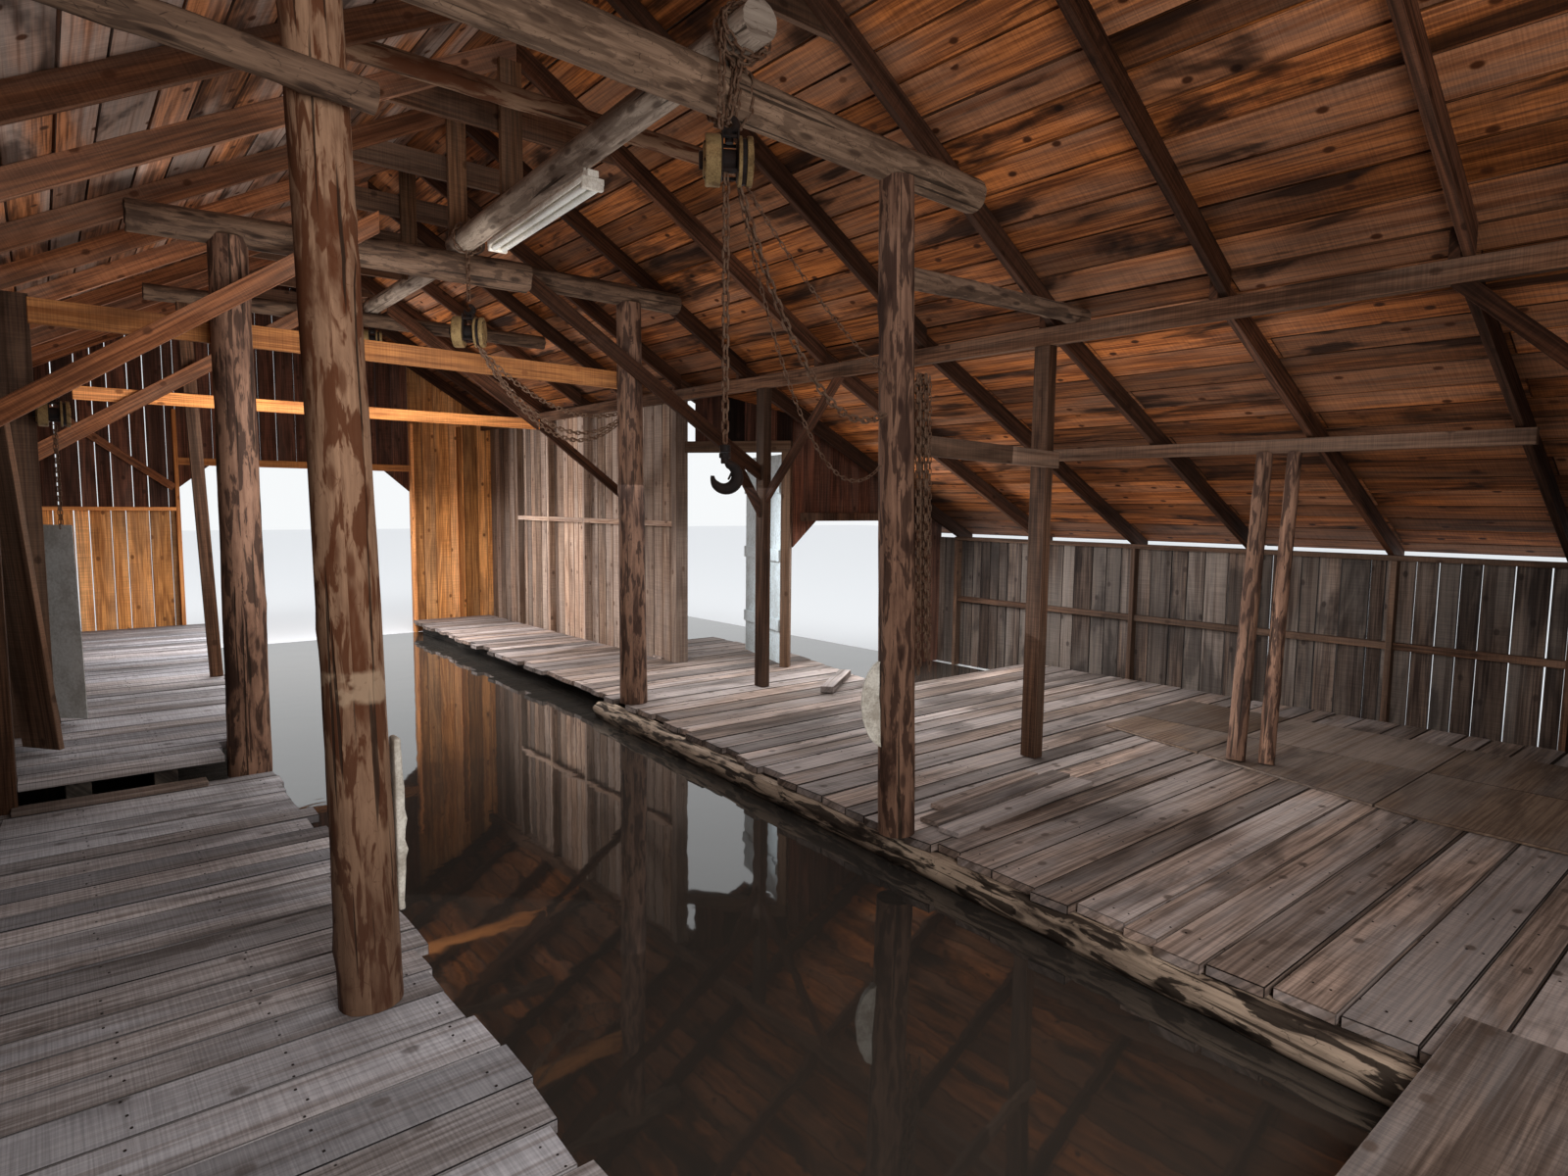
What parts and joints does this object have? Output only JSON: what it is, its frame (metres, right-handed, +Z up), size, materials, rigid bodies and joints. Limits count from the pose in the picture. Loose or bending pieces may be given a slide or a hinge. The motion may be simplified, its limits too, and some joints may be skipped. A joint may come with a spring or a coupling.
{
  "type": "boathouse",
  "caption": "Gabled timber boathouse over an open slip, with log posts and cross logs, board walls, side decks, a low side wing, chain hoists and one hinged side door.",
  "frame": {"origin": "centre of the bounding box at the water line, where the walls and cribs end", "axes": "+X across the slip towards the low wing, +Y along the slip out to the lake, +Z up"},
  "size_m": [9.59, 15.5, 5.0262],
  "materials": {
    "deck_boards": "weathered grey-brown sawn boards",
    "peeled_log": "peeled log, aged and checked",
    "grey_log": "weathered grey log",
    "sawn_timber": "sawn softwood gone orange-brown",
    "orange_timber": "newer sawn softwood, bright orange",
    "roof_boards": "band-sawn sheathing boards under brown roll felt",
    "wall_boards": "vertical boards, weathered",
    "dark_boards": "vertical boards, dark brown",
    "plywood": "worn plywood sheets",
    "door_paint": "off-white ribbed sheet, dulled",
    "hinge_steel": "dull galvanised steel",
    "hoist_brass": "worn tan hoist body",
    "black_iron": "black iron",
    "chain_steel": "rusty chain",
    "fixture_white": "off-white enamel",
    "bumper_vinyl": "off-white vinyl"
  },
  "bodies": {
    "house": {"deck_left": "deck_boards", "deck_right": "deck_boards", "deck_shore": "deck_boards", "plywood_floor": "plywood", "gangplank": "deck_boards", "edge_logs": "grey_log", "crib_logs": "grey_log", "log_posts": "peeled_log", "square_posts": "sawn_timber", "prop_poles": "peeled_log", "cross_logs": "grey_log", "hoist_logs": "grey_log", "tie_logs": "peeled_log", "purlins": "sawn_timber", "rafters_left": "sawn_timber", "rafters_right": "sawn_timber", "rafters_wing": "sawn_timber", "roof_left": "roof_boards", "roof_right": "roof_boards", "roof_wing": "roof_boards", "collar_ties": "sawn_timber", "tie_boards": "orange_timber", "king_posts": "sawn_timber", "braces": "sawn_timber", "wall_left": "wall_boards", "wall_lake_left": "wall_boards", "wall_lake_over": "dark_boards", "wall_lake_right": "wall_boards", "wall_slip_side": "wall_boards", "wall_over_door": "dark_boards", "wall_wing_end": "dark_boards", "wall_right": "wall_boards", "wall_shore": "wall_boards", "studs_sides": "sawn_timber", "studs_slip_side": "orange_timber", "studs_ends": "orange_timber", "door_frame": "sawn_timber", "hinge_pins": "hinge_steel", "chain_hoists": "hoist_brass", "hoist_chains": "chain_steel", "load_hook": "black_iron", "light_fixture": "fixture_white", "post_bumpers": "bumper_vinyl"},
    "side_door": {"door_leaf": "door_paint", "leaf_straps": "hinge_steel"}
  },
  "joints": [
    {"name": "side_door_hinge", "type": "hinge", "parent": "house", "child": "side_door", "pos_m": [2.0218, 1.2746, 1.39], "axis": [0, 0, 1], "range_deg": [-50, 52.5]}
  ]
}
